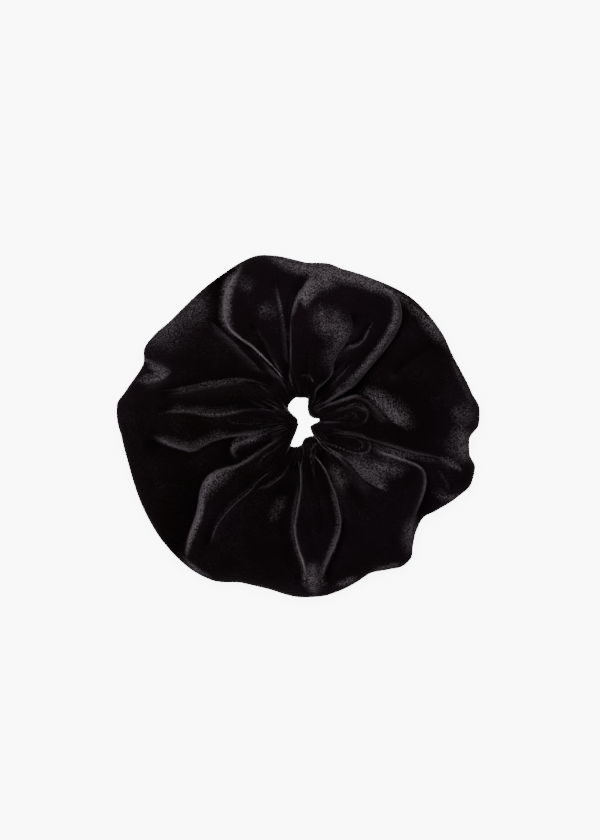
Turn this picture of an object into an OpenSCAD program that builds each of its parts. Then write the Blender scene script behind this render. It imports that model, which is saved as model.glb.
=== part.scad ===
// Oversized velvet scrunchie, lying flat, in millimetres.
// The sleeve is one cloth tube gathered on a ring of elastic. It is cut here into nine
// sectors, so that the ring can open: each sector carries its length of gathered cloth,
// elastic and long seam, and the sectors slide apart along the ring. The gathered cloth
// is one solid in each sector, with the casing that the elastic runs in left open.

/* [Sleeve] */
// Width of the ring across its outer folds
across = 150; // [120:1:180]
// Lift of the top cloth above the middle of the tube, at half its width
lift = 12.5; // [10:0.5:15]
// Height of the tube's widest line above the table, at half its width
waist = 15; // [13:0.5:16]
// How much higher that line is at the hole than at the rim
waist_tilt = 9; // [6:0.5:10]
// How much more the cloth stands up at the hole than at the rim
skew = 0.35; // [0:0.05:0.5]
// Thickness of the velvet
cloth = 1.2; // [0.8:0.1:2]
// Number of gathers around the hole
gathers = 16; // [8:8:24]
// Depth of the gathers in the top cloth
gather_depth = 5; // [0:0.5:6]

/* [Elastic] */
// Radius of the elastic ring, to the middle of the band
band_r = 20; // [17:0.5:24]
// Width of the flat elastic
band_w = 6; // [4:0.5:10]
// Thickness of the flat elastic
band_t = 1.5; // [1:0.1:2]
// Height of the middle of the band above the table
band_z = 8.5; // [7:0.5:10]
// Number of stitches that hold the two ends of the elastic together
bartack_count = 5; // [3:1:7]

/* [Seams] */
// Thickness of the sewing thread
thread_d = 0.6; // [0.4:0.1:0.8]
// Number of stitches in the closing seam
closing_count = 24; // [16:2:36]

/* [Sectors] */
// Space between one sector and the next
gap = 0.3; // [0.2:0.05:0.5]

/* [Hidden] */

// Middle of the ring, from the middle of the outline
hub = [2, 1.7];
// The closing seam is at the first and the last of these angles; the others are the cuts
// between sectors. Sector 1 starts at the closing seam and they run counter-clockwise.
cuts = [95, 117.5, 162.5, 207.5, 252.5, 297.5, 342.5, 387.5, 432.5, 455];
// Outer edge of the cloth: angle around the hub, and radius on a ring 150 mm wide
rim = [
    [-180, 76.5], [-170, 74.5], [-160, 74], [-150, 75], [-138, 76], [-128, 76], [-118, 74.5],
    [-108, 70.5], [-100, 70.5], [-87, 72.5], [-78, 71.5], [-68, 69], [-55, 72], [-47, 66.5],
    [-40, 64], [-30, 68], [-20, 73.5], [-8, 69.5], [3, 73], [10, 70], [28, 67.5], [42, 68],
    [60, 66.5], [72, 65], [88, 66], [97, 68.5], [105, 71.5], [120, 69], [135, 68], [145, 69.5],
    [155, 71.5], [162, 70], [171, 75], [177, 77], [180, 76.5]
];
// Edge of the hole: angle around the hub, and radius
hole = [
    [-180, 3.5], [-150, 3.5], [-130, 5], [-112, 9.5], [-100, 9], [-80, 7.5], [-60, 7],
    [-42, 4.5], [-18, 4.5], [5, 5.5], [30, 4.5], [60, 5], [80, 8.5], [110, 9.5], [135, 8],
    [155, 4], [180, 3.5]
];

casing_out = 0.8;     // middle of the casing, outside the middle of the band
casing_w = 8.8;       // width of the casing
casing_h = 11.2;      // height of the casing
fade_end = 0.95;      // where the gathers have run out, from -1 at the hole to 1 at the rim
angle_step = 2.8125;  // one eighth of a gather when there are sixteen
top_steps = 13;       // points over the top of a section
under_steps = 9;      // points under it
round_fn = 24;        // sides of round threads

// ---- shape of the tube ----

function wrap(a) = a > 180 ? a - 360 : a;
function rim_r(a) = lookup(wrap(a), rim) * across / 150;
function hole_r(a) = lookup(wrap(a), hole);
function middle_z(u) = waist - waist_tilt * u;
function gather(a) = 0.5 - 0.5 * cos(gathers * (a - cuts[0]));
function fade(u) = u > fade_end ? 0 : 0.5 + 0.5 * cos(180 * pow((u + 1) / (fade_end + 1), 1.4));
function over(u) = pow(max(0, 1 - pow(abs(u), 2.4)), 0.55);
function under(u) = pow(max(0, 1 - pow(abs(u), 3)), 0.5);

// Height of the cloth over and under the tube at angle a, inset below its face. u runs
// from -1 at the hole to 1 at the rim.
function over_z(a, u, inset) =
    middle_z(u) + (lift * (1 - skew * u) - inset - gather_depth * gather(a) * fade(u)) * over(u);
function under_z(u, inset) = max(inset, middle_z(u) * (1 - 1.08 * under(u)) + inset * under(u));

// One point of a section as radius and height, t going over the top from 0 at the hole
// to 180 at the rim, and back under the tube.
function section_point(a, t, inset) =
    let (
        u = -cos(t),
        near = hole_r(a) + inset,
        far = rim_r(a) - inset,
        r = (near + far) / 2 + (far - near) / 2 * u,
        z = sin(t) >= 0 ? over_z(a, u, inset) : under_z(u, inset)
    ) [r, z];

// The point of the casing's oval wall that lies towards the section's point p.
function casing_point(p) =
    let (
        middle = [band_r + casing_out, band_z],
        d = p - middle
    ) middle + d / norm([2 * d[0] / casing_w, 2 * d[1] / casing_h]);

function section_turns() = concat(
    [for (i = [0 : top_steps - 1]) 180 * i / top_steps],
    [for (i = [0 : under_steps - 1]) 180 + 180 * i / under_steps]
);

// The point moved off the cut by s, so that neighbouring sectors don't touch.
function placed(a, p, s) = [
    hub[0] + p[0] * cos(a) - s * sin(a),
    hub[1] + p[0] * sin(a) + s * cos(a),
    p[1]
];

// ---- cloth ----

// The gathered cloth from angle a0 to a1: its outer face and the wall of the casing,
// joined by a ring of faces at each end.
module tube_sector(a0, a1) {
    turns = section_turns();
    m = len(turns);
    steps = round((a1 - a0) / angle_step);
    angles = [for (i = [0 : steps]) a0 + (a1 - a0) * i / steps];
    outer = [
        for (i = [0 : steps]) for (t = turns)
            placed(angles[i], section_point(angles[i], t, 0), gap * (0.5 - i / steps))
    ];
    inner = [
        for (i = [0 : steps]) for (t = turns)
            placed(angles[i], casing_point(section_point(angles[i], t, 0)), gap * (0.5 - i / steps))
    ];
    n = m * (steps + 1);
    last = m * steps;
    polyhedron(
        points = concat(outer, inner),
        faces = concat(
            [for (i = [0 : steps - 1]) for (j = [0 : m - 1])
                for (f = quad(i * m + j, i * m + (j + 1) % m,
                              (i + 1) * m + (j + 1) % m, (i + 1) * m + j)) f],
            [for (i = [0 : steps - 1]) for (j = [0 : m - 1])
                for (f = quad(n + (i + 1) * m + j, n + (i + 1) * m + (j + 1) % m,
                              n + i * m + (j + 1) % m, n + i * m + j)) f],
            [for (j = [0 : m - 1]) for (f = quad(n + j, n + (j + 1) % m, (j + 1) % m, j)) f],
            [for (j = [0 : m - 1])
                for (f = quad(last + j, last + (j + 1) % m,
                              n + last + (j + 1) % m, n + last + j)) f]
        ),
        convexity = 8
    );
}

function quad(a, b, c, d) = [[a, b, c], [a, c, d]];

module sleeve(k) {
    color("#1a1519") tube_sector(cuts[k - 1], cuts[k]);
}

// ---- elastic ----

band_slack = 0.1;   // between the two layers of the lap
band_gap_angle = gap / band_r * 180 / PI;

module band_arc(r, a0, a1) {
    rotate([0, 0, a0])
        rotate_extrude(angle = a1 - a0, $fn = 180)
            translate([r, band_z])
                square([band_t, band_w], center = true);
}

module band(k) {
    a0 = cuts[k - 1] + band_gap_angle / 2;
    a1 = cuts[k] - band_gap_angle / 2;
    color("#2b2b2e") translate([hub[0], hub[1], 0])
        if (k == 1) {
            difference() {
                band_arc(band_r, a0, a1);
                bartack_threads(thread_d / 2 + 0.05);
            }
        } else {
            band_arc(band_r, a0, a1);
        }
}

// The other end of the elastic, laid over the outside of sector 1's length.
lap_r = band_r + band_t + band_slack;
tail_angle = 19;

module band_tail() {
    color("#2b2b2e") translate([hub[0], hub[1], 0])
        difference() {
            band_arc(lap_r, cuts[0] + band_gap_angle / 2, cuts[0] + tail_angle);
            bartack_threads(thread_d / 2 + 0.05);
        }
}

function bartack_angle(i) = cuts[0] + 5 + 10 * i / (bartack_count - 1);
function bartack_z(i) = band_z + (i % 2 == 0 ? 1 : -1) * band_w / 4;

// Threads through both layers of the lap, in two rows.
module bartack_threads(r) {
    for (i = [0 : bartack_count - 1])
        rotate([0, 0, bartack_angle(i)])
            translate([band_r - band_t / 2 - thread_d, 0, bartack_z(i)])
                rotate([0, 90, 0])
                    cylinder(r = r, h = 2 * band_t + band_slack + 2 * thread_d, $fn = round_fn);
}

module bartack() {
    color("#101012") translate([hub[0], hub[1], 0])
        bartack_threads(thread_d / 2);
}

// ---- seams ----

// The long seam's thread lies on the floor of the casing.
long_seam_r = band_r + casing_out;
long_seam_z = band_z - casing_h / 2 + 1.8;

module long_seam(k) {
    seam_gap = gap / long_seam_r * 180 / PI;
    a0 = cuts[k - 1] + seam_gap / 2;
    a1 = cuts[k] - seam_gap / 2;
    color("#101012") translate([hub[0], hub[1], long_seam_z])
        rotate([0, 0, a0])
            rotate_extrude(angle = a1 - a0, $fn = 180)
                translate([long_seam_r, 0])
                    circle(d = thread_d, $fn = round_fn);
}

// Stitches through the middle of the cloth, around the end of sector 1.
module closing_seam() {
    a = cuts[0];
    step = 360 / closing_count;
    color("#101012")
        for (i = [0 : closing_count - 1])
            stitch(placed(a, section_point(a, step * (i + 0.2), cloth / 2), 1),
                   placed(a, section_point(a, step * (i + 0.8), cloth / 2), 1));
}

module stitch(p, q) {
    d = q - p;
    translate(p)
        rotate([0, acos(d[2] / norm(d)), atan2(d[1], d[0])])
            cylinder(d = thread_d, h = norm(d), $fn = round_fn);
}

sleeve(1);  // sleeve_1
sleeve(2);  // sleeve_2
sleeve(3);  // sleeve_3
sleeve(4);  // sleeve_4
sleeve(5);  // sleeve_5
sleeve(6);  // sleeve_6
sleeve(7);  // sleeve_7
sleeve(8);  // sleeve_8
sleeve(9);  // sleeve_9
band(1);  // band_1
band(2);  // band_2
band(3);  // band_3
band(4);  // band_4
band(5);  // band_5
band(6);  // band_6
band(7);  // band_7
band(8);  // band_8
band(9);  // band_9
long_seam(1);  // long_seam_1
long_seam(2);  // long_seam_2
long_seam(3);  // long_seam_3
long_seam(4);  // long_seam_4
long_seam(5);  // long_seam_5
long_seam(6);  // long_seam_6
long_seam(7);  // long_seam_7
long_seam(8);  // long_seam_8
long_seam(9);  // long_seam_9
band_tail();
bartack();
closing_seam();
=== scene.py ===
"""Oversized black velvet scrunchie lying flat. Metres, in the CAD model's frame.

The sleeve is one grid of points, worked out in millimetres. Its columns run around the ring.
Its rows run over the tube from the hole to the rim, and back under it. The grid is cut into
lengths, and each length spans the cut between two of the CAD's sectors.
"""
import math

import bpy
import numpy as np
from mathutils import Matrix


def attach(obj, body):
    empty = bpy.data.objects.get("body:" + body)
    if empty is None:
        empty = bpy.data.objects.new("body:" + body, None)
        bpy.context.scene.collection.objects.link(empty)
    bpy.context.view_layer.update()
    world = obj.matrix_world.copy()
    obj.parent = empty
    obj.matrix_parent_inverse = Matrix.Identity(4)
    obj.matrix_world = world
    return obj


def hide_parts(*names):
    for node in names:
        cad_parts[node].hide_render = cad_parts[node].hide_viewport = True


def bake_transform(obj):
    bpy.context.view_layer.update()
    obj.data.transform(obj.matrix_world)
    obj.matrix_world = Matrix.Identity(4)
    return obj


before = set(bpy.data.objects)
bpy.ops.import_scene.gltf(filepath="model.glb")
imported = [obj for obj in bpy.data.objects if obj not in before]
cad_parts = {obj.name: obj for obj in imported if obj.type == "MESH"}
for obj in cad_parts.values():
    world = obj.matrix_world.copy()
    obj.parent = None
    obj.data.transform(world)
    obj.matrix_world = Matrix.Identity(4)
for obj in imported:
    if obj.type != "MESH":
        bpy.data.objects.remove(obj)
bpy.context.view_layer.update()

MM = 0.001
HUB = np.array([2.0, 1.7])          # middle of the ring, mm
COLUMNS = 1024    # around the ring
OVER_ROWS = 210   # over the tube, from the hole to the rim
UNDER_ROWS = 110   # back under it
ELASTIC_R = 20.0                    # the elastic, mm from the hub
SEAM_R = 20.8                       # the long seam, under the elastic

# Sector k of the CAD lies between cuts k-1 and k. The first and the last are the closing
# seam, reached from either side.
CUTS = [95, 117.5, 162.5, 207.5, 252.5, 297.5, 342.5, 387.5, 432.5, 455]
CLOSING = (CUTS[0], CUTS[-1])
# Each visual length of sleeve: the two sectors that it joins, the angles that it starts and
# ends at, and the length of cloth gathered into it.
LENGTHS = [
    (5, 6, 275, 320, 59), (6, 7, 320, 365, 60), (7, 8, 365, 410, 56), (8, 9, 410, 455, 52),
    (5, 4, 230, 275, 59), (4, 3, 185, 230, 60), (3, 2, 140, 185, 60), (2, 1, 95, 140, 56),
]

# ---- outline -------------------------------------------------------------------------

# Radius of the rim and of the hole at angles around the hub, mm.
RIM = [
    (-180, 76.5), (-175, 75), (-165, 74), (-150, 75), (-140, 76), (-128, 76.5), (-120, 75.5),
    (-110, 71), (-103, 70.5), (-90, 72.5), (-84, 72.5), (-78, 71.5), (-72, 70), (-66, 68.5),
    (-60, 70.5), (-55, 72.5), (-52, 72), (-48, 68), (-44, 65), (-39, 63.5), (-34, 66),
    (-26, 71), (-20, 74), (-15, 73.5), (-11, 70), (-6, 69), (-1, 72.5), (4, 73), (10, 70.5),
    (25, 67.5), (32, 68), (45, 68), (65, 65.5), (75, 65), (81, 66), (88, 65.5), (92, 66.5),
    (100, 69.5), (106, 71), (120, 69), (135, 68), (142, 68.5), (150, 71), (155, 72), (160, 70),
    (170, 74), (175, 77),
]
HOLE = [
    (-180, 2), (-145, 2), (-138, 2.5), (-124, 4.5), (-120, 7), (-116, 11), (-95, 9.5),
    (-89, 7.5), (-80, 6.5), (-62, 6.5), (-55, 7), (-50, 5), (-43, 4), (-32, 3.5), (-10, 4.5),
    (3, 6.5), (9, 6.5), (16, 4.5), (44, 3.5), (68, 5), (74, 6.5), (79, 9.5), (96, 9.5),
    (106, 10), (116, 9.5), (138, 8), (143, 6), (149, 3), (170, 2),
]


def round_curve(points, angles):
    """Radius at each angle, on a smooth closed curve that doesn't swing past its points."""
    a = np.array([p[0] for p in points], float)
    r = np.array([p[1] for p in points], float)
    a = np.concatenate([a[-2:] - 360, a, a[:3] + 360])
    r = np.concatenate([r[-2:], r, r[:3]])
    slope = np.diff(r) / np.diff(a)
    same_way = slope[:-1] * slope[1:] > 0
    tangent = np.zeros_like(r)
    tangent[1:-1] = np.where(
        same_way, 2 * slope[:-1] * slope[1:] / (slope[:-1] + slope[1:] + 1e-12 * ~same_way), 0)
    x = (np.asarray(angles, float) + 180) % 360 - 180
    i = np.clip(np.searchsorted(a, x, "right") - 1, 0, len(a) - 2)
    h = a[i + 1] - a[i]
    t = (x - a[i]) / h
    return ((2 * t**3 - 3 * t**2 + 1) * r[i] + (t**3 - 2 * t**2 + t) * h * tangent[i]
            + (3 * t**2 - 2 * t**3) * r[i + 1] + (t**3 - t**2) * h * tangent[i + 1])


# ---- folds ---------------------------------------------------------------------------

# Folds in the top cloth, mm. Each is the line of a crease, from the hole outwards, its
# depth, how far the cloth falls to it from the left and from the right of the line, and
# how far the left (+) or the right (-) side hangs over it.
CLOSING_CREASE = [(-3.5, 12), (-3.5, 35), (-3.5, 44), (-2, 49.5), (0, 54.5), (2.5, 57.5), (7, 64)]
FOLDS = [
    # closing seam and the panel left of it
    (CLOSING_CREASE, 3.5, 4, 5, -0.8),
    ([(-4, 24), (-4.5, 36), (-6.5, 45), (-8, 52.5), (-9.5, 61)], 1.8, 3, 3, 0),
    ([(-4, 16), (-10, 23.5), (-18, 31), (-24.5, 35.5), (-29, 39.5), (-31, 45.5), (-31, 52),
      (-28.5, 60), (-23.5, 66)], 5.5, 9, 6, -1.2),
    ([(-4, 19), (-12, 30.5), (-20, 43)], 2.5, 3, 3, 0),
    ([(-5, 17), (-14, 26.5), (-22, 36)], 2.0, 3, 3, 0),
    ([(-12, 19.5), (-22, 30), (-26.5, 35), (-37.5, 45)], 3.0, 5, 5, 0),
    # left
    ([(-8, 14), (-17, 17.5), (-25, 18), (-32, 17), (-39, 16), (-47, 14), (-57, 13)], 4.0, 6, 5, -0.6),
    ([(-51, 22.5), (-57, 23), (-60.5, 25), (-63, 28)], 4.0, 3, 4, 0),
    ([(-52, 22), (-54.5, 20), (-59.5, 19), (-67, 17.5)], 4.0, 5, 4, 0),
    ([(-5, 6.5), (-16.5, 7.5), (-22.5, 7), (-29.5, 5), (-36.5, 4.5), (-43, 6.5), (-51.5, 6.5),
      (-58, 5)], 4.0, 6, 5, 0.6),
    ([(-17, -4), (-24.5, -4.5), (-31, -5.5), (-36.5, -7.5), (-42, -11), (-44.5, -11), (-50, -9.5),
      (-57, -6.5), (-62, -4.5)], 5.0, 8, 7, -1.0),
    ([(-3, 1), (-9, 0), (-15.5, -3.5), (-20.5, -5), (-25.5, -7), (-28, -9), (-27, -11.5),
      (-24.5, -14.5)], 3.8, 4, 5, 0.6),
    # lower left
    ([(-6, -4.5), (-13.5, -7.5), (-18, -12), (-24, -15.5), (-30, -17), (-35, -18.5), (-38.5, -21.5),
      (-40.5, -26), (-41, -31), (-42, -36), (-44, -41), (-45.5, -46), (-47, -51), (-47.5, -55)],
     5.5, 7, 12, 1.2),
    ([(-9, -17), (-13.5, -19.5), (-17, -23), (-20.5, -27), (-24.5, -30), (-29.5, -35), (-33, -39.5),
      (-35, -44), (-37, -51)], 3.5, 4, 4, 0.8),
    ([(-2, -14), (-4.5, -18.5), (-8, -21), (-11.5, -24), (-18, -26)], 3.0, 3, 3, 0.4),
    ([(-3, -22), (-6, -30), (-11.5, -39.5)], 1.8, 4, 4, 0),
    # bottom pleat
    ([(-0.5, -12), (1, -23), (0, -30), (-1, -35.5), (-2, -40.5), (-1.5, -46), (0, -52),
      (2, -57.5), (3, -65)], 5.5, 5, 6, 1.0),
    ([(5, -9), (8, -13), (12, -18.5), (14, -24), (16, -28.5), (17, -34), (18, -39.5),
      (17, -45), (15, -50.5), (12.5, -55.5), (10.5, -61), (10, -66)], 6.0, 7, 5, -1.2),
    ([(5.5, -12), (7, -20), (8, -28.5), (9.5, -37), (9.5, -46)], 1.8, 3, 3, 0),
    # lower right
    ([(6, -8), (9.5, -9.5), (14, -11), (18, -13), (20.5, -15.5), (24, -19), (27, -22.5),
      (30, -24.5), (35, -27)], 5.5, 10, 7, 1.0),
    ([(9, -4), (20, -3.5), (29, -6), (35, -8), (41.5, -10), (48, -12), (55, -13), (60, -14.5),
      (67, -19)], 4.5, 5, 6, 0.7),
    ([(30, -9), (38, -11.5), (45, -14), (50, -16), (52.5, -19), (53, -23), (52, -28.5),
      (50, -34), (48.5, -40)], 5.0, 8, 7, -1.2),
    ([(55, -16), (57, -17.5), (60.5, -23), (62, -27)], 2.0, 3, 3, 0),
    ([(54, -26), (58, -28), (64, -30)], 3.0, 3, 3, 0),
    # right
    ([(6, 5.5), (9.5, 8), (16, 10.5), (23, 13), (27, 13.5)], 5.0, 6, 4, -0.8),
    ([(20, 12), (24, 13), (27.5, 11.5), (31, 8.5), (35, 4), (39.5, 0)], 5.0, 9, 5, 1.0),
    ([(8, 3.5), (15, 5.5), (22, 8.5), (26.5, 8), (28.5, 5), (27, 1)], 2.2, 2.5, 2.5, 0),
    ([(9, 1.5), (16, 3), (22, 5), (24, 3)], 1.8, 2.5, 2.5, 0),
    # top right
    ([(5, 5.5), (9.5, 8), (17.5, 12), (25, 18), (32, 26), (38.5, 34), (42.5, 41), (43.5, 47),
      (43, 51.5), (40, 56), (34, 60)], 6.0, 8, 14, 1.3),
    ([(5, 8), (10, 13), (16, 19.5), (23, 27)], 2.8, 2.5, 2.5, 0.3),
    ([(4.5, 10), (9.5, 16), (16, 23), (21, 28)], 2.4, 2.5, 2.5, 0.3),
    ([(4, 12), (9, 15.5), (14, 19.5), (15, 26.5), (17.5, 30), (21, 35.5), (23, 41.5),
      (22, 46.5)], 5.0, 7, 5, 1.2),
    ([(17.5, 30.5), (20, 32), (24, 32.5), (27, 35.5), (29, 40), (31, 42.5)], 3.0, 3, 3, -0.5),
    ([(0, 20), (4, 20.5), (7.5, 16)], 2.4, 2.5, 2.5, 0),
    ([(36, 18), (48, 28), (59, 35)], 3.0, 9, 8, 0),
]
TAPER = 6.0          # a fold fades in and out over this length, mm
LEAN_AT = 0.45       # where on the falling side the overhang is greatest
OVERDRAW = 1.25      # a crease is drawn this much deeper than its listed depth
LIP = 0.10           # share of the tube's half width, at either edge, where folds fade out
MOST_DROP = 0.52     # deepest fold in the top cloth, as a share of the tube's thickness

GATHERS = 40         # narrow creases in the top cloth, around the hole
GATHER_DEPTH = 1.1
GATHER_START = 4     # radii that they run between, mm
GATHER_END = 34
GATHER_STRAY = 0.35  # how far one strays from even spacing, in spacings
GATHER_BEND = 9      # how far one turns aside on its way out, degrees
GATHER_REACH = (0.55, 1)    # shares of the full reach, depth and width that one may have
GATHER_DEEP = (0.5, 1)
GATHER_WIDE = (0.7, 1.1)
GATHER_FADE = 0.4    # share of its reach over which one fades out

PLEATS = 60          # gathers under the tube
PLEAT_SWAY = 0.22    # how far each slow wave moves a pleat aside, in pleats
PLEAT_TWIST = 17     # a wave shifts by a radian over this much radius, mm
NARROW_R = 12        # nearer the hub than this, mm, there is no more spare cloth than there
MOST_SPARE = 6       # limit on how much spare cloth there is, as the square of a slope
PLEAT_GAIN = 3.0     # how much deeper they lie than their spare cloth alone makes them
PLEAT_START = -0.6   # where across the tube they start, with the hole at -1 and the rim at 1
PLEAT_FADE_IN = 0.3
PLEAT_FADE_OUT = 0.22
PLEAT_STEEP = 1.6    # highest pleat, as a share of its own width
PLEAT_SHARE = 0.42   # and as a share of the tube's thickness
UNDER_BAND = 4.0     # room for pleats below the elastic, mm
BESIDE_BAND = 8.0    # how much more room there is away from it
BAND_REACH = 4.0     # the elastic's room reaches this far, and gives way over as much again

HOLE_LIP_Z = 24      # height of the tube's widest line at the hole and at the rim, mm
RIM_LIP_Z = 6
CROWN_RISE = 12.5    # how far the top stands above that line, midway between them, mm
CROWN_LEAN = 0.35    # share by which it stands higher towards the hole
BELLY_FALL = 1.08    # past 1, the underside lies flat on the table over some of its width


def middle_z(u):
    """Height of the tube's widest line, from the hole at u = -1 to the rim at u = 1."""
    return (HOLE_LIP_Z + RIM_LIP_Z) / 2 - (HOLE_LIP_Z - RIM_LIP_Z) / 2 * u


def crown(u):
    """Height of the top cloth before it is folded."""
    rounded = np.clip(1 - np.abs(u) ** 2.4, 0, 1) ** 0.55
    return middle_z(u) + CROWN_RISE * (1 - CROWN_LEAN * u) * rounded


def belly(u):
    """Height of the cloth under the tube before it is pleated."""
    rounded = np.clip(1 - np.abs(u) ** 3, 0, 1) ** 0.5
    return np.maximum(0, middle_z(u) * (1 - BELLY_FALL * rounded))


def rounded_path(points):
    """The path with its corners rounded off, by cutting each of them three times."""
    p = np.array(points, float)
    for _ in range(3):
        inner = np.empty((2 * len(p) - 2, 2))
        inner[0::2] = 0.75 * p[:-1] + 0.25 * p[1:]
        inner[1::2] = 0.25 * p[:-1] + 0.75 * p[1:]
        p = np.vstack([p[:1], inner, p[-1:]])
    return p


def nearest_on_path(xy, path):
    """For each point: signed distance to the path, left positive, distance along it and
    the path's direction there. Then the path's length."""
    best = np.full(len(xy), np.inf)
    signed = np.full(len(xy), np.inf)
    along = np.zeros(len(xy))
    way = np.zeros((len(xy), 2))
    start = 0.0
    for a, b in zip(path[:-1], path[1:]):
        d = b - a
        length = np.hypot(*d)
        if length < 1e-9:
            continue
        d = d / length
        rel = xy - a
        t = np.clip(rel @ d, 0, length)
        off = rel - t[:, None] * d
        dist = np.hypot(off[:, 0], off[:, 1])
        near = dist < best
        best[near] = dist[near]
        side = np.where(d[0] * rel[:, 1] - d[1] * rel[:, 0] >= 0, 1, -1)
        signed[near] = (dist * side)[near]
        along[near] = (start + t)[near]
        way[near] = d
        start += length
    return signed, along, way, start


def points_near(xy, path, reach):
    """Which points lie in the path's box, grown by reach."""
    low = path.min(0) - reach
    high = path.max(0) + reach
    return np.where(((xy >= low) & (xy <= high)).all(1))[0]


def smooth(t):
    t = np.clip(t, 0, 1)
    return t * t * (3 - 2 * t)


def folded(xy, fade):
    """Drop and sideways move of each top point. fade is 0 where the cloth has to stay put."""
    drop = np.zeros(len(xy))
    move = np.zeros((len(xy), 2))
    for points, depth, left, right, lean in FOLDS:
        path = rounded_path(points)
        pick = points_near(xy, path, max(left, right))
        if not len(pick):
            continue
        signed, along, way, length = nearest_on_path(xy[pick], path)
        q = np.clip(np.abs(signed) / np.where(signed >= 0, left, right), 0, 1)
        ends = smooth(along / TAPER) * smooth((length - along) / TAPER)
        drop[pick] += OVERDRAW * depth * ends * (1 - q) ** 1.7
        if lean:
            leans = (signed >= 0) if lean > 0 else (signed < 0)
            bulge = np.sin(math.pi * np.clip(q / (2 * LEAN_AT), 0, 1)) ** 1.5
            right_way = np.stack([way[:, 1], -way[:, 0]], 1)
            move[pick] += (lean * ends * bulge * leans)[:, None] * right_way
    return drop * fade, move * fade[:, None]


def gathers(angle, radius, rng):
    """Drop of many narrow creases that run outwards from the hole. Each has its own
    bearing, bend, reach, depth and width."""
    drop = np.zeros_like(radius)
    starts = (np.arange(GATHERS) + rng.uniform(-GATHER_STRAY, GATHER_STRAY, GATHERS)) * 360 / GATHERS
    for start in starts:
        bend = rng.uniform(-GATHER_BEND, GATHER_BEND)
        reach = rng.uniform(*GATHER_REACH) * GATHER_END
        deep = GATHER_DEPTH * rng.uniform(*GATHER_DEEP)
        wide = rng.uniform(*GATHER_WIDE) * 180 / GATHERS
        line = start + bend * (radius / GATHER_END) ** 2
        off = (angle - line + 180) % 360 - 180
        q = np.clip(np.abs(off) / wide, 0, 1)
        fade_out = smooth((reach - radius) / (GATHER_FADE * reach))
        drop += deep * (1 - q) ** 2 * smooth((radius - GATHER_START) / TAPER) * fade_out
    return drop


def pleats(angle, radius, rng, rim):
    """Height that the spare cloth under the tube takes up. The rim's length of cloth is laid
    in pleats that get steeper towards the hole, and three slow waves make them uneven."""
    phase = angle / 360 * PLEATS
    for n in (1, 2, 3):
        swing = rng.uniform(0, 2 * math.pi)
        slow_wave = np.sin(np.radians(angle) * (3 * n + 1) + swing + radius / PLEAT_TWIST)
        phase = phase + PLEAT_SWAY * slow_wave
    wave = 1 - np.abs((phase % 1) * 2 - 1) ** 1.3
    spare = np.sqrt(np.clip((rim / np.maximum(radius, NARROW_R)) ** 2 - 1, 0, MOST_SPARE))
    return wave * spare * math.pi * radius / PLEATS


def pleated(angle, radius, u, rng, rim, thick):
    """How far the pleats lift the cloth under the tube."""
    height = PLEAT_GAIN * pleats(angle, radius, rng, rim)
    height *= smooth((u - PLEAT_START) / PLEAT_FADE_IN) * smooth((1 - u) / PLEAT_FADE_OUT)
    steepest = PLEAT_STEEP * 2 * math.pi * radius / PLEATS
    clear = smooth((np.abs(radius - SEAM_R) - BAND_REACH) / BAND_REACH)
    room = UNDER_BAND + BESIDE_BAND * clear
    return np.minimum.reduce([height, steepest, PLEAT_SHARE * thick, room])


def tube_surface():
    """Points of the whole sleeve as columns around the ring, each a closed loop of rows."""
    angles = CUTS[0] + np.arange(COLUMNS + 1) * 360 / COLUMNS
    over = -np.cos(math.pi * (np.arange(OVER_ROWS) / OVER_ROWS))
    under = np.cos(math.pi * (np.arange(UNDER_ROWS) / UNDER_ROWS))
    rows = OVER_ROWS + UNDER_ROWS
    u = np.tile(np.concatenate([over, under]), len(angles))
    is_top = np.tile(np.arange(rows) < OVER_ROWS, len(angles))
    a = np.repeat(np.radians(angles), rows)
    near = np.repeat(round_curve(HOLE, angles), rows)
    far = np.repeat(round_curve(RIM, angles), rows)
    r = (near + far) / 2 + (far - near) / 2 * u
    xy = HUB + np.stack([r * np.cos(a), r * np.sin(a)], 1)
    thick = np.maximum(crown(u) - belly(u), 0)

    rng = np.random.default_rng(7)
    edge = smooth((1 - np.abs(u)) / LIP)
    drop, move = folded(xy, edge)
    drop += gathers(np.degrees(a), r, rng) * edge
    lift = pleated(np.degrees(a), r, u, rng, far, thick)
    top_z = crown(u) - np.minimum(drop, MOST_DROP * thick)
    z = np.where(is_top, top_z, belly(u) + lift)
    xy = xy + np.where(is_top[:, None], move, 0)
    return np.column_stack([xy, z]).reshape(len(angles), rows, 3)


def relaxed(grid, rounds):
    """The surface with its sharpest kinks eased, and kept off the table."""
    for _ in range(rounds):
        ring = grid[:-1]
        mean = (np.roll(ring, 1, 0) + np.roll(ring, -1, 0)
                + np.roll(ring, 1, 1) + np.roll(ring, -1, 1)) / 4
        ring = ring * 0.5 + mean * 0.5
        ring[..., 2] = np.maximum(ring[..., 2], 0)
        grid = np.concatenate([ring, ring[:1]])
    return grid


def grid_normals(grid):
    """Normal at each point, from its neighbours around the ring and around the tube."""
    around = np.empty_like(grid)
    around[1:-1] = grid[2:] - grid[:-2]
    around[0] = around[-1] = grid[1] - grid[-2]
    across = np.roll(grid, -1, 1) - np.roll(grid, 1, 1)
    n = np.cross(around, across)
    return n / np.maximum(np.linalg.norm(n, axis=2, keepdims=True), 1e-12)
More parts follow.
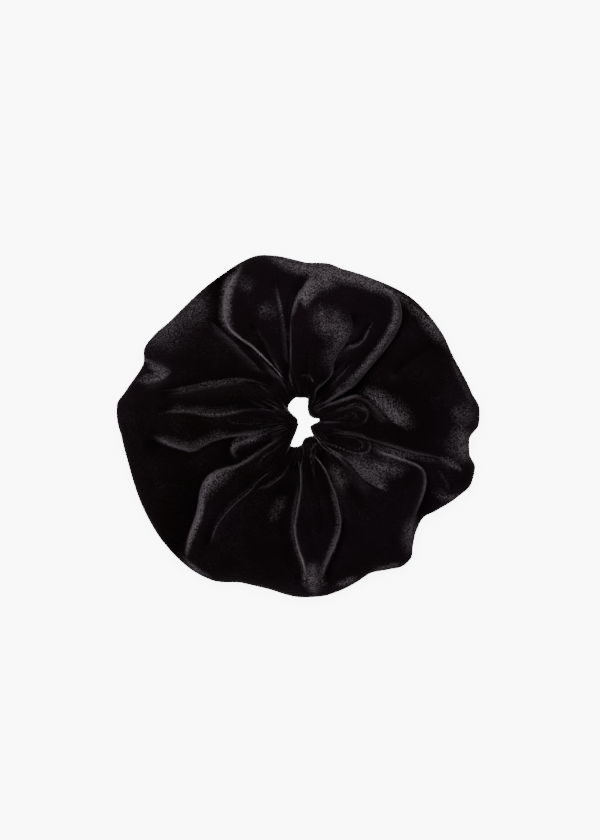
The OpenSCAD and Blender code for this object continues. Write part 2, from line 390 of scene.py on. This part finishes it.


# ---- painted highlights --------------------------------------------------------------

# Painted highlights: strokes where pile that lies the other way would catch the light, with that
# sheen painted into the velvet's colour. Each is a line in mm, how wide the stroke is to the left
# and to the right of it, and how strong.
PAINTED_HIGHLIGHTS = [
    # top edge and the panel right of the closing seam
    ([(-14, 69.5), (-4, 66), (6, 63), (16, 61.5), (26, 59.5), (36, 56), (44, 51.5)], 6, 3.5, 0.55),
    ([(7, 63), (4, 57.5), (1.5, 53), (3.5, 47)], 6.5, 2.2, 0.85),
    ([(14, 20), (15, 26.5), (17, 30), (20.5, 35.5), (23, 41.5), (20, 47)], 8, 0.8, 0.5),
    ([(8, 51), (10.5, 43), (12, 34)], 6, 6, 0.3),
    ([(14, 50), (16, 43), (17, 35), (15, 27)], 5, 4, 0.25),
    ([(11, 61), (12, 55)], 6, 6, 0.4),
    ([(-3, 43), (-1.5, 49.5), (0.5, 54.5), (2.5, 57)], 0.6, 1.5, 0.85),
    # panel left of it
    ([(-22, 67.5), (-27, 61), (-29.5, 54), (-30, 46), (-28.5, 40.5), (-24.5, 35.5)], 3.0, 3.0, 0.8),
    ([(-23, 62), (-20, 54)], 4.5, 4, 0.15),
    ([(-16, 49), (-8, 43.5)], 5, 5, 0.15),
    ([(-6, 41), (-4.5, 34)], 2, 1, 0.15),
    ([(-9.5, 60.5), (-8, 52.5), (-6.5, 45), (-4.5, 36)], 0.7, 1.1, 0.4),
    # left
    ([(-64, 30), (-54, 40), (-42, 48), (-34, 55)], 9, 10, 0.2),
    ([(-63, 28), (-60.5, 25), (-57, 23), (-53, 23)], 1.6, 1.8, 0.85),
    ([(-52, 22.5), (-54.5, 20.5), (-59.5, 19.5), (-67, 18)], 2.0, 2.4, 0.95),
    ([(-57, 14), (-47, 15), (-39, 17), (-32, 18), (-25, 19), (-17, 18.5)], 0.8, 2.4, 0.5),
    ([(-58, 4.5), (-51, 6), (-43, 5.5), (-36.5, 4), (-29.5, 4.5), (-22.5, 6), (-16.5, 7)],
     3.4, 0.8, 0.3),
    ([(-62, -4.5), (-57, -6.5), (-50, -9), (-44.5, -10.5), (-42, -10.5), (-36.5, -7), (-31, -5),
      (-23, -4)], 4, 0.6, 0.45),
    ([(-9, 0.5), (-15.5, -3), (-20.5, -4), (-25, -6), (-27, -9), (-26.5, -11.5),
      (-24, -14)], 3.2, 1.6, 1.0),
    ([(-75, 4), (-74.5, -8), (-71, -24), (-62, -42), (-52, -54)], 1.5, 2.0, 0.3),
    # lower left
    ([(-14, -8), (-18.5, -12.5), (-23, -15.5), (-28, -18), (-33, -20)], 0.9, 1.5, 0.45),
    ([(-22, -15.5), (-29, -17.5), (-34.5, -20), (-37.5, -24), (-39, -29), (-39.5, -34), (-41.5, -40),
      (-44, -45.5), (-45.5, -50.5), (-46.5, -56)], 1.8, 1.6, 0.7),
    ([(-25, -18), (-32, -21), (-36, -26), (-37.5, -32)], 3.5, 3.5, 0.35),
    ([(-12, -19), (-17, -22.5), (-20.5, -26.5), (-24.5, -29.5), (-29.5, -34.5), (-33, -39),
      (-35, -43.5), (-37, -50)], 0.8, 1.0, 0.25),
    ([(-2, -15.5), (-4.5, -18), (-8, -21), (-11.5, -23.5), (-17, -26)], 0.8, 0.8, 0.35),
    ([(-5, -27), (-8, -33), (-12, -40)], 3, 3, 0.2),
    ([(-48, -53), (-42, -59), (-34, -63)], 1.2, 1.8, 0.5),
    # bottom pleat
    ([(0.5, -21), (-0.5, -30), (-1.5, -35.5), (-2, -40.5), (-2, -46), (0, -52), (2, -57.5),
      (3, -67)], 1.4, 1.2, 1.0),
    ([(13, -20), (15, -28.5), (16.5, -34), (17, -39.5), (16, -45), (14, -50.5),
      (12, -55.5), (10, -61), (9.5, -67)], 1.6, 1.8, 0.85),
    ([(6.5, -55), (6.5, -70)], 5.5, 5.5, 0.8),
    ([(12.5, -15), (16, -21), (19, -27)], 4.5, 3.5, 0.3),
    ([(14, -66), (25, -62)], 1.8, 2.4, 0.4),
    ([(30, -59.5), (44, -56)], 1.4, 2.0, 0.35),
    # lower right
    ([(9.5, -9), (14, -10.5), (19, -13)], 0.8, 1.4, 1.0),
    ([(17.5, -12.5), (21, -15), (24.5, -18.5), (27.5, -22), (31, -24), (37, -27)], 8.5, 0.8, 0.85),
    ([(19, -13), (23, -16.5), (26.5, -20.5), (30, -23.5), (33, -25)], 3.5, 0.8, 0.9),
    ([(29, -16), (38, -18), (45, -18)], 4.5, 4.5, 0.5),
    ([(30, -8.5), (38, -11.5), (46, -13.5)], 2.5, 4, 0.4),
    ([(29, -6.5), (35, -8.5), (41.5, -10.5), (48, -12), (55, -13.5), (60, -15)],
     0.4, 2.5, 0.6),
    ([(57, -13), (62, -15.5), (67, -18.5)], 2.4, 1.2, 0.75),
    ([(45, -14), (50, -16.5), (52, -19.5), (52.5, -23), (51.5, -28.5), (49.5, -34)],
     0.6, 1.6, 0.45),
    ([(48.5, -34), (47, -41), (46, -48), (44.5, -55)], 2, 4.5, 0.4),
    ([(55, -27), (61, -30), (67, -28)], 1.4, 2.4, 0.5),
    ([(57, -17.5), (60.5, -23), (62, -27)], 0.8, 0.8, 0.15),
    # right
    ([(9.5, 7), (16, 9.5), (23, 12), (27, 12.5)], 0.9, 0.7, 0.65),
    ([(22, 13.5), (27.5, 13), (31.5, 10), (35.5, 5.5), (39.5, 1.5), (45, -2)], 5, 1.2, 0.5),
    ([(26, 14), (34, 10), (41, 4), (49, -2)], 5.5, 4, 0.35),
    ([(62, 7), (68, 4), (74, 1)], 6, 6, 0.3),
    ([(66, 2), (68, -8), (68, -17)], 4.5, 8, 0.6),
    ([(48, 49), (54, 42), (58.5, 36), (62, 30)], 3.2, 4.2, 0.4),
    ([(62, 30), (66, 20), (69, 14), (73.5, 6)], 1.2, 1.6, 0.2),
    # top right
    ([(10, 8.5), (15.5, 12.5), (22.5, 18.5), (29, 26), (35, 34), (39.5, 41.5), (40.5, 47),
      (40, 51), (36.5, 55.5)], 2.0, 1.6, 0.85),
    ([(39, 56), (46, 51), (53, 43)], 2.5, 3.5, 0.35),
    ([(38, 54), (31, 58.5), (23, 61)], 3, 3, 0.15),
    ([(17.5, 30.5), (20, 32), (24, 33), (27, 35.5), (29, 40), (31, 42.5)], 0.7, 0.7, 0.75),
    ([(8.5, 12.5), (16, 19), (23, 27)], 0.6, 0.6, 0.2),
    ([(0.5, 20), (4, 20.5), (7.5, 16.5)], 0.6, 0.6, 0.35),
    # loops of the gathers at the hole
    ([(9, -3.5), (18, -2.5), (24, -3), (28, -5), (29.5, -8), (28, -11), (24, -11.5), (18, -9.5),
      (12, -7), (8, -6.5), (5.5, -9), (5, -13), (6.5, -19), (8, -28)], 0.6, 0.6, 0.3),
    ([(11, -5), (18, -4), (24, -5), (26.5, -7.5), (25.5, -9.5), (22.5, -9.5), (17, -7.5)],
     0.5, 0.5, 0.2),
    ([(8, 4), (15, 6), (22, 9), (26.5, 8.5), (28.5, 5), (27, 1), (20, -0.5)], 0.6, 0.6, 0.2),
    ([(11, 2.5), (17, 3.5), (22.5, 5.5), (24, 3.5), (21, 2)], 0.5, 0.5, 0.15),
    ([(-5, 3), (-14, 1), (-24, 0.5), (-28.5, 2), (-28, 4.5), (-22, 4.5)], 0.6, 0.6, 0.1),
    ([(-6, -6), (-9, -9.5), (-13.5, -12), (-16, -15.5), (-14, -17.5)], 0.5, 0.5, 0.15),
]
STROKE_FADE = 12     # a stroke fades in and out over this length, mm, or over
SHORT_FADE = 0.45    # this share of its own if that is less
STROKE_OVER = 1      # and the fades start this far beyond its ends, mm
TIP_WIDTH = 0.5      # how much of its listed width a stroke has at its tips
BODY_WIDTH = 1.2     # and between the fades
HIGHLIGHT_AT_HOLE = 0.6    # share of the strokes' strength left beside the hole
HIGHLIGHT_DIM_R = 10       # they are that dim up to this radius, mm, and at full strength
HIGHLIGHT_FULL_R = 30      # from this one
HIGHLIGHT_FLAT = 0.45      # share of a stroke seen where the cloth faces up
HIGHLIGHT_SLOPE = 0.9      # and what a slope adds to that share
PAINTED_SLOPE_SHEEN = 0.06      # how much painted sheen a slope with no stroke on it shows
HIGHLIGHT_STEEP = 0.5      # a slope counts in full once its normal's height is this much under 1


def stroke_highlights(xy):
    """How strong the painted highlight of the strokes is at each point."""
    dark = np.ones(len(xy))
    for points, left, right, strength in PAINTED_HIGHLIGHTS:
        path = rounded_path(points)
        pick = points_near(xy, path, max(left, right))
        if not len(pick):
            continue
        signed, along, _, length = nearest_on_path(xy[pick], path)
        fade = min(SHORT_FADE * length, STROKE_FADE)
        left_over = length - along
        ends = smooth((along + STROKE_OVER) / fade) * smooth((left_over + STROKE_OVER) / fade)
        width = np.where(signed >= 0, left, right) * (TIP_WIDTH + (BODY_WIDTH - TIP_WIDTH) * ends)
        q = np.clip(np.abs(signed) / width, 0, 1)
        dark[pick] *= 1 - strength * ends * (1 - q) ** 1.5
    return 1 - dark


def painted_highlight_map(grid, normals):
    """How much painted highlight, from the strokes and from sheen on slopes, each grid point shows."""
    painted_highlight = stroke_highlights(grid[:, :, :2].reshape(-1, 2)).reshape(grid.shape[:2])
    painted_highlight[:, OVER_ROWS:] = 0
    from_hub = np.linalg.norm(grid[:, :, :2] - HUB, axis=2)
    outwards = smooth((from_hub - HIGHLIGHT_DIM_R) / (HIGHLIGHT_FULL_R - HIGHLIGHT_DIM_R))
    painted_highlight *= HIGHLIGHT_AT_HOLE + (1 - HIGHLIGHT_AT_HOLE) * outwards
    slope = np.clip((1 - normals[:, :, 2]) / HIGHLIGHT_STEEP, 0, 1)
    return np.clip(painted_highlight * (HIGHLIGHT_FLAT + HIGHLIGHT_SLOPE * slope) + PAINTED_SLOPE_SHEEN * slope, 0, 1)


# ---- meshes --------------------------------------------------------------------------

STRIP_SHARE = 0.95   # a strip over a cut ends this share of the way to its piece's ends
STRIP_HALF = 7.0     # and reaches no further than this to either side of its cut, mm


def mesh_object(name, points, faces):
    mesh = bpy.data.meshes.new(name)
    mesh.from_pydata((points * MM).tolist(), [], faces)
    mesh.update()
    obj = bpy.data.objects.new(name, mesh)
    bpy.context.scene.collection.objects.link(obj)
    return obj


def tube_piece(name, grid, normals, painted_highlight, first, last):
    """The stretch of a grid from column first to column last, open at both ends."""
    rows = grid.shape[1]
    part = slice(first, last + 1)
    c = np.arange(last - first)[:, None] * rows
    j = np.arange(rows)[None, :]
    k = (j + 1) % rows
    quads = np.stack(np.broadcast_arrays(c + j, c + rows + j, c + rows + k, c + k), 2)
    obj = mesh_object(name, grid[part].reshape(-1, 3), quads.reshape(-1, 4).tolist())
    obj.data.shade_smooth()
    # the painted highlight at each point, kept on the mesh for the velvet's colour
    values = obj.data.attributes.new("painted_highlight", "FLOAT", "POINT").data
    values.foreach_set("value", painted_highlight[part].ravel().astype(np.float32))
    obj.data.normals_split_custom_set_from_vertices(normals[part].reshape(-1, 3).tolist())
    return obj


def swept(name, spine, profile):
    """A closed solid with the same profile, in mm, at every point of the spine."""
    spine = np.array(spine, float)
    way = np.gradient(spine, axis=0)
    way /= np.linalg.norm(way, axis=1, keepdims=True)
    side = np.cross(way, (0, 0, 1))
    side /= np.linalg.norm(side, axis=1, keepdims=True)
    up = np.cross(side, way)
    rings = [p + a * s + b * u for p, s, u in zip(spine, side, up) for a, b in profile]
    n = len(profile)
    faces = [(i * n + j, i * n + (j + 1) % n, (i + 1) * n + (j + 1) % n, (i + 1) * n + j)
             for i in range(len(spine) - 1) for j in range(n)]
    faces += [tuple(range(n - 1, -1, -1)), tuple(range(len(rings) - n, len(rings)))]
    return mesh_object(name, np.array(rings), faces)


def joined(name, objects):
    """One object out of several."""
    bpy.ops.object.select_all(action="DESELECT")
    for obj in objects:
        obj.select_set(True)
    bpy.context.view_layer.objects.active = objects[0]
    bpy.ops.object.join()
    objects[0].name = objects[0].data.name = name
    return objects[0]


def blend_over_cut(obj, low, high, ends, forwards):
    """Find the cut between the piece's two sectors and the half width of a narrow strip over it,
    which nothing then uses, and bake the piece's transform into its mesh. low and high are a
    sector and the angle where the piece reaches it. ends are the piece's open ends, as points,
    and forwards tells whether the sectors' numbers grow along it."""
    cut = next(c for c in CUTS if min(low[1], high[1]) < c < max(low[1], high[1]))
    along = np.array([-math.sin(math.radians(cut)), math.cos(math.radians(cut))])
    if not forwards:
        along = -along
    half = STRIP_SHARE * min(np.abs((end[:, :2] - HUB) @ along).min() for end in ends)
    half = min(half, STRIP_HALF)
    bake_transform(obj)


# ---- materials -----------------------------------------------------------------------

PILE_DARK = (0.0060, 0.0036, 0.0036, 1)
PILE_SHADE = (0.0100, 0.0058, 0.0088, 1)
# colour of the painted highlights, mixed into the pile's own dark colour
PAINTED_HIGHLIGHT_COLOUR = (0.155, 0.132, 0.149, 1)
SHEEN = (0.92, 0.76, 0.88, 1)
HIGHLIGHT_UNSEEN = 0.08    # painted highlight fainter than this stays dark
ELASTIC_DARK = (0.010, 0.010, 0.011, 1)
ELASTIC_LIGHT = (0.045, 0.045, 0.050, 1)
THREAD_DARK = (0.006, 0.006, 0.007, 1)
THREAD_LIGHT = (0.020, 0.019, 0.022, 1)
WHITE = (1, 1, 1, 1)


def new_material(name):
    mat = bpy.data.materials.new(name)
    mat.use_nodes = True
    return mat, mat.node_tree, mat.node_tree.nodes["Principled BSDF"]


def feed(tree, node, inputs):
    """Set each input of the node to a value, or link it to another node's output."""
    for name, value in inputs.items():
        if isinstance(value, bpy.types.NodeSocket):
            tree.links.new(value, node.inputs[name])
        else:
            node.inputs[name].default_value = value


def add_node(tree, kind, inputs, **settings):
    node = tree.nodes.new(f"ShaderNode{kind}")
    for name, value in settings.items():
        setattr(node, name, value)
    feed(tree, node, inputs)
    return node


def noise(tree, scale, detail=2):
    """Noise through the object, finer where the scale is greater."""
    place = add_node(tree, "TexCoord", {}).outputs["Object"]
    inputs = {"Vector": place, "Scale": scale, "Detail": detail}
    return add_node(tree, "TexNoise", inputs).outputs["Fac"]


def mapped(tree, value, old, new):
    """The value, with its old range stretched to the new one."""
    inputs = {"Value": value, "From Min": old[0], "From Max": old[1], "To Min": new[0], "To Max": new[1]}
    return add_node(tree, "MapRange", inputs).outputs["Result"]


def times(tree, a, b):
    return add_node(tree, "Math", {0: a, 1: b}, operation="MULTIPLY").outputs["Value"]


def tones(tree, value, dark, light, span=(0, 1)):
    """A colour that goes from dark to light as the value goes over the span."""
    ramp = add_node(tree, "ValToRGB", {"Fac": value})
    for stop, place, colour in zip(ramp.color_ramp.elements, span, (dark, light)):
        stop.position = place
        stop.color = colour
    return ramp.outputs["Color"]


def bumped(tree, height, strength, distance, **coarser):
    """Normals roughened by the height, over a coarser Normal if one is given."""
    inputs = {"Height": height, "Strength": strength, "Distance": distance, **coarser}
    return add_node(tree, "Bump", inputs).outputs["Normal"]


def velvet_material():
    """Dark pile, with painted highlights that have a grain of their own where the mesh asks for them."""
    mat, tree, shader = new_material("velvet")
    clouds = noise(tree, scale=25, detail=5)
    dark = tones(tree, clouds, PILE_DARK, PILE_SHADE, span=(0.35, 0.65))
    # strength of the painted highlight, kept on the mesh
    painted_highlight = add_node(tree, "Attribute", {}, attribute_name="painted_highlight").outputs["Fac"]
    patches = mapped(tree, noise(tree, scale=110), (0.3, 0.7), (0.65, 1.35))
    grain = mapped(tree, noise(tree, scale=1800, detail=3), (0.35, 0.65), (-0.4, 2.0))
    grained = times(tree, times(tree, painted_highlight, patches), grain)
    lit = add_node(tree, "Math", {0: grained, 1: HIGHLIGHT_UNSEEN}, operation="SUBTRACT", use_clamp=True)
    # the painted highlight goes into the base colour
    mixed = add_node(tree, "Mix", {}, data_type="RGBA")
    feed(tree, mixed, {"Factor": lit.outputs["Value"], "A": dark, "B": PAINTED_HIGHLIGHT_COLOUR})
    hollows = bumped(tree, noise(tree, scale=260, detail=3), strength=0.35, distance=0.0010)
    hairs = noise(tree, scale=1500, detail=3)
    feed(tree, shader, {
        "Base Color": mixed.outputs["Result"],
        "Normal": bumped(tree, hairs, strength=0.55, distance=0.0004, Normal=hollows),
        "Roughness": 0.85,
        "Specular IOR Level": 0.0,
        "Sheen Weight": 0.65,
        "Sheen Roughness": 0.30,
        "Sheen Tint": SHEEN,
    })
    return mat


def elastic_material():
    mat, tree, shader = new_material("elastic")
    braid = noise(tree, scale=900)
    feed(tree, shader, {
        "Base Color": tones(tree, braid, ELASTIC_DARK, ELASTIC_LIGHT),
        "Normal": bumped(tree, braid, strength=0.6, distance=0.0004),
        "Roughness": 0.7,
    })
    return mat


def thread_material():
    mat, tree, shader = new_material("thread")
    twist = noise(tree, scale=2500)
    feed(tree, shader, {
        "Base Color": tones(tree, twist, THREAD_DARK, THREAD_LIGHT),
        "Roughness": 0.6,
    })
    return mat


VELVET, ELASTIC, SEWING = velvet_material(), elastic_material(), thread_material()

# ---- sleeve --------------------------------------------------------------------------


def column_at(angle):
    return int(round((angle - CUTS[0]) / 360 * COLUMNS))


grid = relaxed(tube_surface(), 2)
normals = grid_normals(grid)
# painted highlights over the sleeve: strokes, and sheen on slopes
painted_highlight = painted_highlight_map(grid, normals)

for low, high, a0, a1, length in LENGTHS:
    first, last = column_at(a0), column_at(a1)
    piece = tube_piece(f"velvet_{low}_{high}", grid, normals, painted_highlight, first, last)
    piece.data.materials.append(VELVET)
    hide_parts(f"sleeve_{low}", f"sleeve_{high}")
    ends = [grid[column_at(a)] for a in (a0, a1) if a not in CLOSING]
    blend_over_cut(piece, (low, a0), (high, a1), ends, high > low)

# ---- elastic and thread ----------------------------------------------------------------

BAND_Z = 8.5
BAND_WIDE, BAND_THICK = 6.0, 1.5
SEAM_Z = 4.7
THREAD = 0.6
ARC_STEP = 1.25      # degrees
SEAM_POINTS = 60     # points along the closing seam's line over the tube
STITCHES = 24
STITCH_POINTS = 6
STITCH_SPAN = (0.2, 0.8)    # where a stitch starts and ends in its own share of the seam
UNDER_CLOTH = 0.9    # how far inside the velvet the closing stitches lie, mm
LIP_ROWS = 6         # rows left free of stitches at either end of the underside


def ring_arc(radius, z, a0, a1):
    turns = np.radians(np.arange(a0, a1 + ARC_STEP / 2, ARC_STEP))
    return [(HUB[0] + radius * math.cos(t), HUB[1] + radius * math.sin(t), z) for t in turns]


def round_profile(diameter, sides=10):
    turns = [2 * math.pi * i / sides for i in range(sides)]
    return [(diameter / 2 * math.cos(t), diameter / 2 * math.sin(t)) for t in turns]


def flat_profile(thick, wide, corner=0.3):
    a, b, c = thick / 2, wide / 2, corner
    return [(-a, -b + c), (-a + c, -b), (a - c, -b), (a, -b + c),
            (a, b - c), (a - c, b), (-a + c, b), (-a, b - c)]


def ring_length(name, radius, z, profile, low, high, a0, a1):
    """A length of elastic or thread over the cut between the two sectors that it joins."""
    piece = swept(name, ring_arc(radius, z, a0, a1), profile)
    ends = [np.array(ring_arc(radius, z, a, a)) for a in (a0, a1) if a not in CLOSING]
    blend_over_cut(piece, (low, a0), (high, a1), ends, high > low)
    return piece


band_profile = flat_profile(BAND_THICK, BAND_WIDE)
thread_profile = round_profile(THREAD)
for low, high, a0, a1, _ in LENGTHS:
    piece = ring_length(f"elastic_{low}_{high}", ELASTIC_R, BAND_Z, band_profile, low, high, a0, a1)
    piece.data.materials.append(ELASTIC)
    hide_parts(f"band_{low}", f"band_{high}")
    piece = ring_length(f"seam_{low}_{high}", SEAM_R, SEAM_Z, thread_profile, low, high, a0, a1)
    piece.data.materials.append(SEWING)
    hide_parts(f"long_seam_{low}", f"long_seam_{high}")


def closing_path():
    """The line of the closing seam, just inside the cloth: out along its crease over the
    tube, and back straight under it, a little to sector 1's side of the cut."""
    top = grid[:-1, 2 : OVER_ROWS - 2].reshape(-1, 3)
    crease = rounded_path(CLOSING_CREASE)
    marks = np.linspace(0, len(crease) - 1, SEAM_POINTS)
    xy = np.stack([np.interp(marks, range(len(crease)), crease[:, i]) for i in (0, 1)], 1)
    z = [top[np.argmin(np.hypot(*(top[:, :2] - p).T)), 2] for p in xy]
    over = np.column_stack([xy, np.array(z) - UNDER_CLOTH])
    under = grid[0, OVER_ROWS + LIP_ROWS : -LIP_ROWS : 2] + (-1, 0, UNDER_CLOTH)
    return np.vstack([over, under])


def closing_stitches():
    """The stitches of the closing seam, one after another along its line, with gaps."""
    path = closing_path()
    steps = np.linalg.norm(np.diff(path, axis=0), axis=1)
    reach = np.concatenate([[0], np.cumsum(steps)])
    stitches = []
    for i in range(STITCHES):
        start, end = [reach[-1] * (i + part) / STITCHES for part in STITCH_SPAN]
        marks = np.linspace(start, end, STITCH_POINTS)
        spine = np.stack([np.interp(marks, reach, path[:, k]) for k in range(3)], 1)
        stitches.append(swept(f"stitch_{i}", spine, thread_profile))
    return joined("closing_stitches", stitches)


closing = closing_stitches()
closing.data.materials.append(SEWING)
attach(closing, "sector_1")
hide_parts("closing_seam")

for name, look in (("band_tail", ELASTIC), ("bartack", SEWING)):
    mesh = bpy.data.objects[name].data
    mesh.materials.clear()
    mesh.materials.append(look)

# ---- camera, light, floor --------------------------------------------------------------

VIEW = (0.0008, 0.0023)             # what the camera looks straight down at
CAMERA_HEIGHT = 1.2
VIEW_Z = 0.008                      # the height that the framing is measured at
VIEW_TALL = 0.3452                  # how much the picture's longer side shows there
SENSOR = 36
FLOOR_SIZE = 6
FLOOR_Z = -0.0005                   # just under the part, so that the two don't meet
FLOOR_GREY = (0.16, 0.16, 0.16, 1)
FLOOR_SEEN = 9.4                    # glow that the camera sees on open floor
FLOOR_BY_CLOTH = 2.0                # and right beside the cloth, dimmed there as a painted shadow
FLOOR_UNSEEN = 0.8                  # glow that lights the part
SHADOW_REACH = 0.007                # how far from the cloth the painted shadow on the floor reaches
SHADOW_LEAN = (-0.25, 0.75, 0.6)    # the floor's painted shadow falls away from this direction
WORLD_GLOW = 0.4
SOFTBOX_AT = (-0.9, 0.8, 1.4)
SOFTBOX_SIZE = 0.9
SOFTBOX_POWER = 14


def add_floor():
    """Bright paper that glows, with a painted shadow where its glow dims close to the cloth, and that
    hardly lights it from below.
    """
    bpy.ops.mesh.primitive_plane_add(size=FLOOR_SIZE, location=(0, 0, FLOOR_Z))
    floor = bpy.context.object
    floor.name = "floor"
    mat, tree, shader = new_material("paper")
    lean = add_node(tree, "CombineXYZ", dict(zip("XYZ", SHADOW_LEAN))).outputs["Vector"]
    # painted shadow: the floor's glow is dimmed where the cloth is near
    nearby = add_node(tree, "AmbientOcclusion", {"Distance": SHADOW_REACH, "Normal": lean})
    shade = mapped(tree, nearby.outputs["AO"], (0, 1), (FLOOR_BY_CLOTH, FLOOR_SEEN))
    seen = add_node(tree, "LightPath", {}).outputs["Is Camera Ray"]
    glow = add_node(tree, "Mix", {"Factor": seen, "A": FLOOR_UNSEEN, "B": shade})
    feed(tree, shader, {
        "Base Color": FLOOR_GREY,
        "Roughness": 0.9,
        "Emission Color": WHITE,
        "Emission Strength": glow.outputs["Result"],
    })
    floor.data.materials.append(mat)


def add_softbox():
    data = bpy.data.lights.new("softbox", "AREA")
    data.shape = "SQUARE"
    data.size = SOFTBOX_SIZE
    data.energy = SOFTBOX_POWER
    lamp = bpy.data.objects.new("softbox", data)
    lamp.location = SOFTBOX_AT
    lamp.rotation_euler = lamp.location.to_track_quat("Z", "Y").to_euler()
    bpy.context.scene.collection.objects.link(lamp)


def add_world():
    world = bpy.data.worlds.new("studio")
    world.use_nodes = True
    background = world.node_tree.nodes["Background"]
    feed(world.node_tree, background, {"Color": WHITE, "Strength": WORLD_GLOW})
    bpy.context.scene.world = world


def add_camera():
    data = bpy.data.cameras.new("camera")
    data.sensor_width = SENSOR
    data.lens = SENSOR * (CAMERA_HEIGHT - VIEW_Z) / VIEW_TALL
    data.clip_end = 10
    camera = bpy.data.objects.new("camera", data)
    camera.location = (*VIEW, CAMERA_HEIGHT)
    bpy.context.scene.collection.objects.link(camera)
    bpy.context.scene.camera = camera


add_floor()
add_world()
add_softbox()
add_camera()
